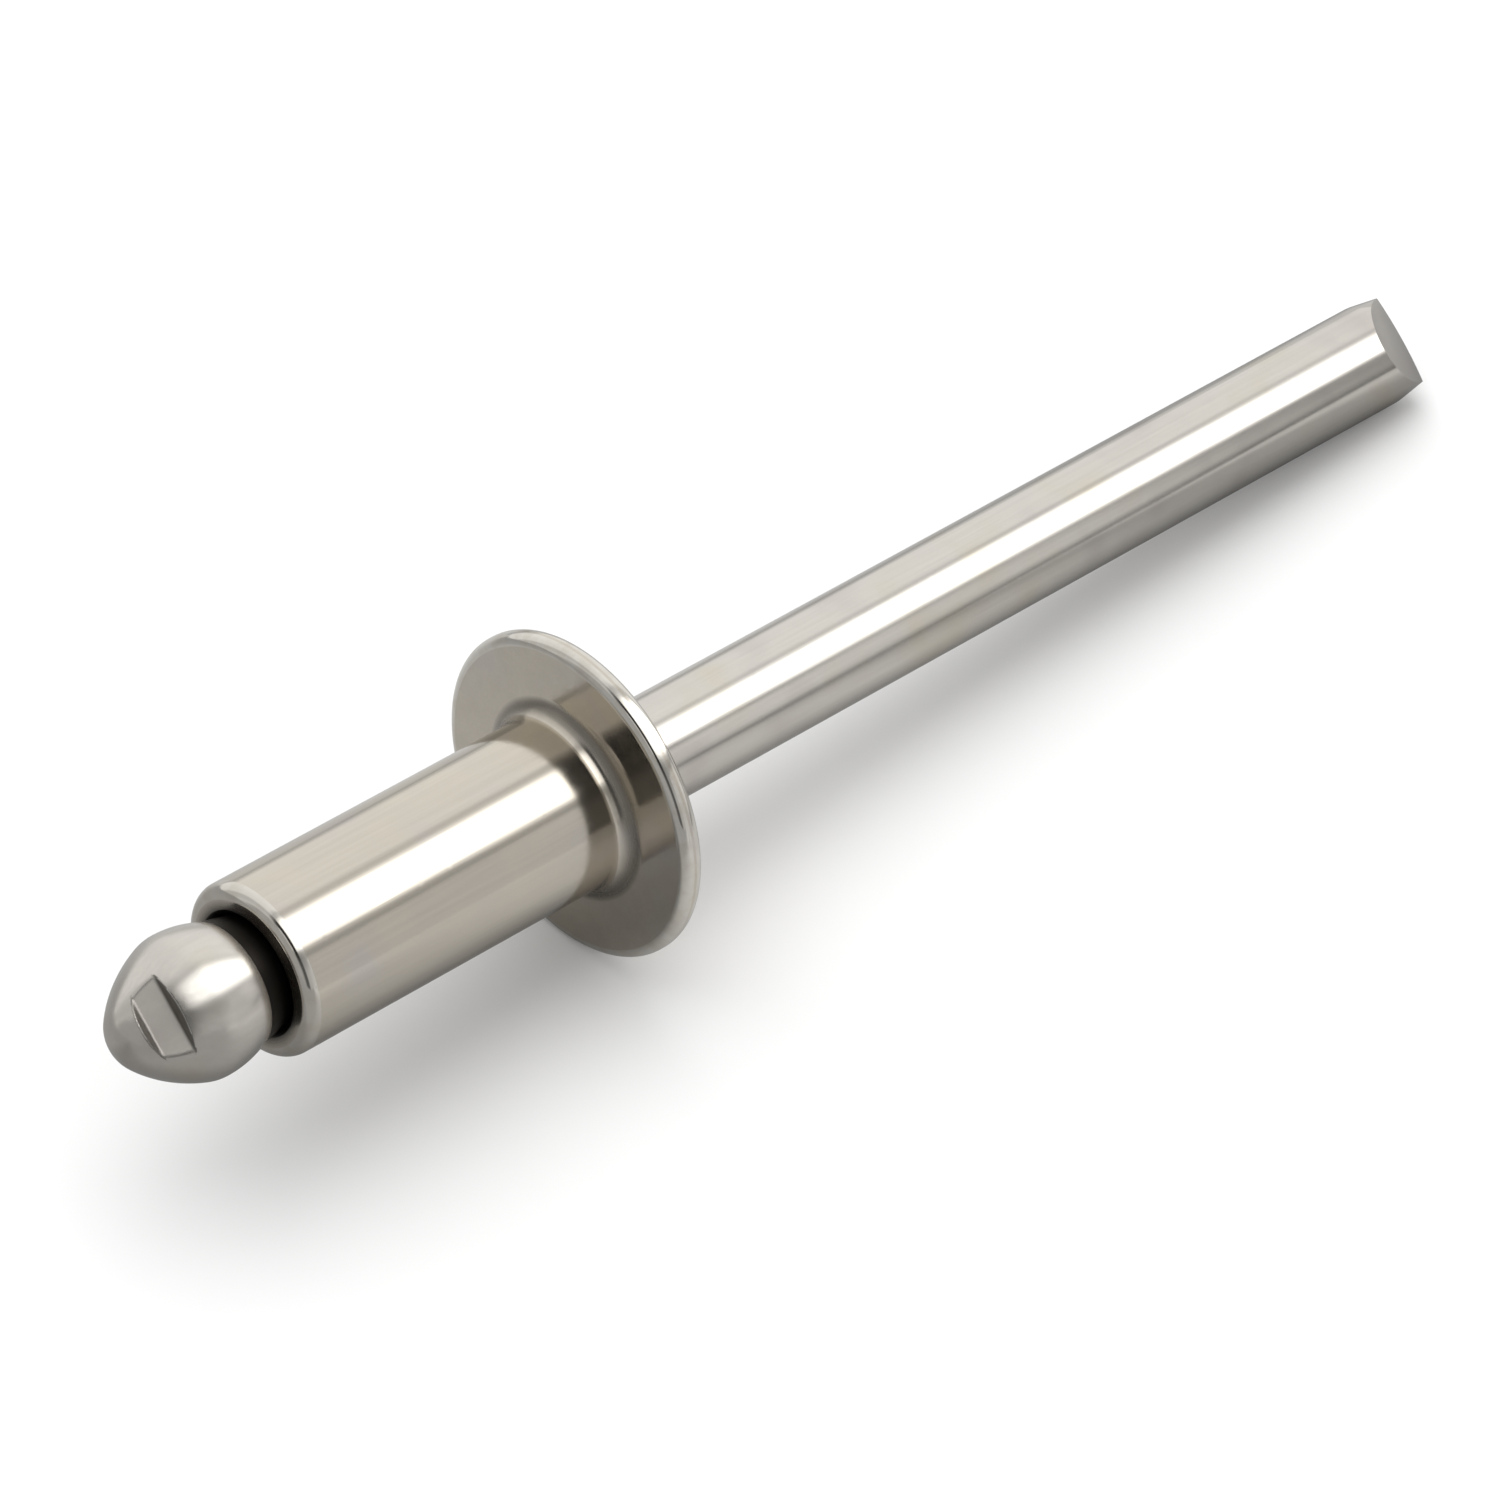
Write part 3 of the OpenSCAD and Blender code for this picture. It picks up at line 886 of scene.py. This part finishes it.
def tent_world(strength, fill):
    """The white tent and its softbox, in bands along the rivet's axis, and an even fill."""
    world = bpy.data.worlds.new("tent")
    world.use_nodes = True
    world.cycles.sampling_method = "NONE"
    tree = world.node_tree
    tree.nodes.clear()
    link = tree.links.new
    coordinates = add(tree, "ShaderNodeTexCoord")
    own_axis = add(tree, "ShaderNodeMapping", vector_type="TEXTURE")
    own_axis.inputs["Rotation"].default_value = TURN.to_euler()
    split = add(tree, "ShaderNodeSeparateXYZ")
    upward = add(tree, "ShaderNodeMath", operation="MULTIPLY")
    upward.inputs[1].default_value = -1
    round_axis = add(tree, "ShaderNodeMath", operation="ARCTAN2")
    whole = spread(tree, -math.pi, math.pi)
    stem_side = band_ramp(tree, STEM_SIDE_BANDS)
    dark_side = band_ramp(tree, DARK_BANDS)
    lengthwise = spread(tree, -1, 1)
    how_dark = grey_ramp(tree, [((along + 1) / 2, value) for along, value in DARK_SPAN])
    past_dark = spread(tree, DARK_SPAN[1][0], DARK_SPAN[0][0], smooth=True)
    tented = add(tree, "ShaderNodeMix", data_type="RGBA")
    tented.inputs[COLOUR_B].default_value = (*[BEYOND / BRIGHTEST] * 3, 1)
    bands = add(tree, "ShaderNodeMix", data_type="RGBA")
    link(coordinates.outputs["Generated"], own_axis.inputs["Vector"])
    link(own_axis.outputs[0], split.inputs[0])
    link(split.outputs["X"], upward.inputs[0])
    link(split.outputs["Y"], round_axis.inputs[0])
    link(upward.outputs[0], round_axis.inputs[1])
    link(round_axis.outputs[0], whole.inputs["Value"])
    link(whole.outputs[0], stem_side.inputs["Fac"])
    link(whole.outputs[0], dark_side.inputs["Fac"])
    link(split.outputs["Z"], lengthwise.inputs["Value"])
    link(lengthwise.outputs[0], how_dark.inputs["Fac"])
    link(split.outputs["Z"], past_dark.inputs["Value"])
    link(past_dark.outputs[0], tented.inputs["Factor"])
    link(stem_side.outputs["Color"], tented.inputs[COLOUR_A])
    link(how_dark.outputs["Color"], bands.inputs["Factor"])
    link(tented.outputs[COLOUR_OUT], bands.inputs[COLOUR_A])
    link(dark_side.outputs["Color"], bands.inputs[COLOUR_B])

    tent = add(tree, "ShaderNodeBackground", strength=strength * BRIGHTEST)
    link(bands.outputs[COLOUR_OUT], tent.inputs["Color"])
    even = add(tree, "ShaderNodeBackground", strength=fill)
    even.inputs["Color"].default_value = (1, 1, 1, 1)
    backdrop = add(tree, "ShaderNodeBackground")
    backdrop.inputs["Color"].default_value = (1, 1, 1, 1)
    ray = add(tree, "ShaderNodeLightPath")
    lit = add(tree, "ShaderNodeMixShader")
    seen = add(tree, "ShaderNodeMixShader")
    output = add(tree, "ShaderNodeOutputWorld")
    link(ray.outputs["Is Glossy Ray"], lit.inputs["Fac"])
    link(even.outputs[0], lit.inputs[1])
    link(tent.outputs[0], lit.inputs[2])
    link(ray.outputs["Is Camera Ray"], seen.inputs["Fac"])
    link(lit.outputs[0], seen.inputs[1])
    link(backdrop.outputs[0], seen.inputs[2])
    link(seen.outputs[0], output.inputs["Surface"])
    return world


def paper_material(stage):
    """Matt white paper with a faint mottle; where the steel reflects it, it is dimmer by set shares,
    painted shade that stands in for shadow near the rivet.
    """
    material = bpy.data.materials.new("floor_paper")
    material.use_nodes = True
    tree = material.node_tree
    link = tree.links.new
    paper = tree.nodes["Principled BSDF"]
    paper.inputs["Roughness"].default_value = 0.9
    paper.inputs["Specular IOR Level"].default_value = 0.0
    coordinates = add(tree, "ShaderNodeTexCoord")
    mottle = add(tree, "ShaderNodeTexNoise", scale=MOTTLE_SCALE)
    shade = spread(tree, 0, 1, stage.floor_tone * (1 - MOTTLE), stage.floor_tone * (1 + MOTTLE))
    split = add(tree, "ShaderNodeSeparateXYZ")
    ray = add(tree, "ShaderNodeLightPath")
    dimmed = add(tree, "ShaderNodeMix")
    dimmed.inputs[NUMBER_A].default_value = 1
    toned = add(tree, "ShaderNodeMath", operation="MULTIPLY")
    lengthwise, crosswise = (spread(tree, -FLOOR_SPAN, FLOOR_SPAN) for _ in range(2))
    along, across = grey_ramp(tree, FLOOR_SHADE_ALONG), grey_ramp(tree, FLOOR_SHADE_ACROSS)
    both = add(tree, "ShaderNodeMath", operation="MULTIPLY")
    link(split.outputs["X"], lengthwise.inputs["Value"])
    link(lengthwise.outputs[0], along.inputs["Fac"])
    link(across.outputs["Color"], both.inputs[0])
    link(along.outputs["Color"], both.inputs[1])
    link(coordinates.outputs["Object"], mottle.inputs["Vector"])
    link(mottle.outputs["Fac"], shade.inputs["Value"])
    link(coordinates.outputs["Object"], split.inputs[0])
    link(split.outputs["Y"], crosswise.inputs["Value"])
    link(crosswise.outputs[0], across.inputs["Fac"])
    # Only glossy rays see the painted shade; the camera sees the floor evenly bright
    link(ray.outputs["Is Glossy Ray"], dimmed.inputs["Factor"])
    link(both.outputs[0], dimmed.inputs[NUMBER_B])
    link(shade.outputs[0], toned.inputs[0])
    link(dimmed.outputs[0], toned.inputs[1])
    link(toned.outputs[0], paper.inputs["Base Color"])
    return material


def side_card(stage):
    """Glowing card beside the stem, seen only in reflections, darker towards the stem's end."""
    shape = bmesh.new()
    bmesh.ops.create_grid(shape, x_segments=1, y_segments=1, size=0.5)
    bmesh.ops.scale(shape, verts=shape.verts, vec=(stage.card_length, stage.card_height, 1))
    low_end = Vector((stage.card_start, -stage.card_away, 0))
    middle = low_end + Vector((stage.card_length, 0, stage.card_height)) / 2
    upright = Matrix.Translation(middle) @ Matrix.Rotation(math.pi / 2, 4, "X")
    bmesh.ops.transform(shape, verts=shape.verts, matrix=upright)
    mesh = bpy.data.meshes.new("side_card")
    shape.to_mesh(mesh)
    shape.free()
    material = bpy.data.materials.new("side_card")
    material.use_nodes = True
    tree = material.node_tree
    tree.nodes.clear()
    link = tree.links.new
    coordinates = add(tree, "ShaderNodeTexCoord")
    split = add(tree, "ShaderNodeSeparateXYZ")
    lengthwise = spread(tree, stage.card_start, stage.card_start + stage.card_length)
    upward = spread(tree, 0, stage.card_height)
    along_tone = grey_ramp(tree, CARD_ALONG)
    up_tone = grey_ramp(tree, CARD_UP)
    footed = add(tree, "ShaderNodeMix", data_type="RGBA")
    footed.inputs[COLOUR_A].default_value = (1, 1, 1, 1)
    faded_in = spread(tree, stage.card_fade * CARD_FADE_FROM, stage.card_fade)
    toned = add(tree, "ShaderNodeVectorMath", operation="MULTIPLY")
    glow = add(tree, "ShaderNodeEmission")
    output = add(tree, "ShaderNodeOutputMaterial")
    link(coordinates.outputs["Object"], split.inputs[0])
    link(split.outputs["X"], lengthwise.inputs["Value"])
    link(split.outputs["Z"], upward.inputs["Value"])
    link(lengthwise.outputs[0], along_tone.inputs["Fac"])
    link(upward.outputs[0], up_tone.inputs["Fac"])
    link(along_tone.outputs["Color"], toned.inputs[0])
    link(split.outputs["X"], faded_in.inputs["Value"])
    link(faded_in.outputs[0], footed.inputs["Factor"])
    link(up_tone.outputs["Color"], footed.inputs[COLOUR_B])
    link(footed.outputs[COLOUR_OUT], toned.inputs[1])
    link(toned.outputs[0], glow.inputs["Color"])
    link(glow.outputs[0], output.inputs["Surface"])
    mesh.materials.append(material)
    card = bpy.data.objects.new("side_card", mesh)
    card.visible_camera = False
    card.visible_diffuse = False
    card.visible_shadow = False
    card.visible_transmission = False
    return card


class RIVET_OT_stage(bpy.types.Operator):
    """Lays the floor, lights it softly and places the camera"""

    bl_idname = "rivet.stage"
    bl_label = "Stage"
    bl_options = {"UNDO"}

    def execute(self, context):
        scene = context.scene
        stage = scene.rivet_stage
        sheet = bmesh.new()
        bmesh.ops.create_grid(sheet, x_segments=1, y_segments=1, size=stage.floor_size / 2)
        mesh = bpy.data.meshes.new("floor")
        sheet.to_mesh(mesh)
        sheet.free()
        mesh.materials.append(paper_material(stage))
        floor = bpy.data.objects.new("floor", mesh)
        scene.collection.objects.link(floor)

        scene.collection.objects.link(side_card(stage))

        overhead = bpy.data.lights.new("overhead", "SUN")
        overhead.energy = stage.overhead_strength
        overhead.angle = stage.overhead_size
        lamp = bpy.data.objects.new("overhead", overhead)
        lamp.rotation_euler = (-stage.overhead_lean, 0, 0)
        lamp.visible_glossy = False
        scene.collection.objects.link(lamp)
        scene.world = tent_world(stage.tent_strength, stage.fill)

        low, high = CAD_BOX
        aim = (low + high) / 2 - Vector((stage.aim_along, stage.aim_near, stage.aim_down))
        back = Vector(
            (
                math.sin(stage.azimuth) * math.cos(stage.elevation),
                -math.cos(stage.azimuth) * math.cos(stage.elevation),
                math.sin(stage.elevation),
            )
        )
        view = bpy.data.cameras.new("camera")
        view.lens = stage.lens
        view.sensor_width = SENSOR_WIDTH
        view.clip_start = stage.distance / 100
        view.clip_end = stage.distance * 100
        camera = bpy.data.objects.new("camera", view)
        camera.location = aim + back * stage.distance
        camera.rotation_euler = back.to_track_quat("Z", "Y").to_euler()
        scene.collection.objects.link(camera)
        scene.camera = camera
        scene.view_settings.view_transform = "Standard"
        return {"FINISHED"}


# ---------------------------------------------------------------- add-on


class RIVET_PT_sidebar(bpy.types.Panel):
    """Sidebar panel that builds the rivet and lists its sizes"""

    bl_idname = "RIVET_PT_sidebar"
    bl_label = "Pop rivet"
    bl_space_type = "VIEW_3D"
    bl_region_type = "UI"
    bl_category = "Rivet"

    def draw(self, context):
        for operator, group in STEPS:
            box = self.layout.box()
            box.operator(operator)
            settings = getattr(context.scene, group)
            for name in settings.__annotations__:
                box.prop(settings, name)
        finish = context.scene.rivet_steel_finish
        for name in finish.__annotations__:
            self.layout.prop(finish, name)


STEPS = (
    ("rivet.body", "rivet_body_sizes"),
    ("rivet.mandrel", "rivet_mandrel_sizes"),
    ("rivet.stage", "rivet_stage"),
)
GROUPS = {
    "rivet_body_sizes": BodySizes,
    "rivet_mandrel_sizes": MandrelSizes,
    "rivet_steel_finish": SteelFinish,
    "rivet_stage": StageSettings,
}
CLASSES = (*GROUPS.values(), RIVET_OT_body, RIVET_OT_mandrel, RIVET_OT_stage, RIVET_PT_sidebar)


def register():
    for item in CLASSES:
        bpy.utils.register_class(item)
    for name, group in GROUPS.items():
        setattr(bpy.types.Scene, name, bpy.props.PointerProperty(type=group))


def unregister():
    for name in GROUPS:
        delattr(bpy.types.Scene, name)
    for item in reversed(CLASSES):
        bpy.utils.unregister_class(item)


def main():
    register()
    bpy.ops.rivet.body()
    bpy.ops.rivet.mandrel()
    bpy.ops.rivet.stage()


if __name__ == "__main__":
    main()
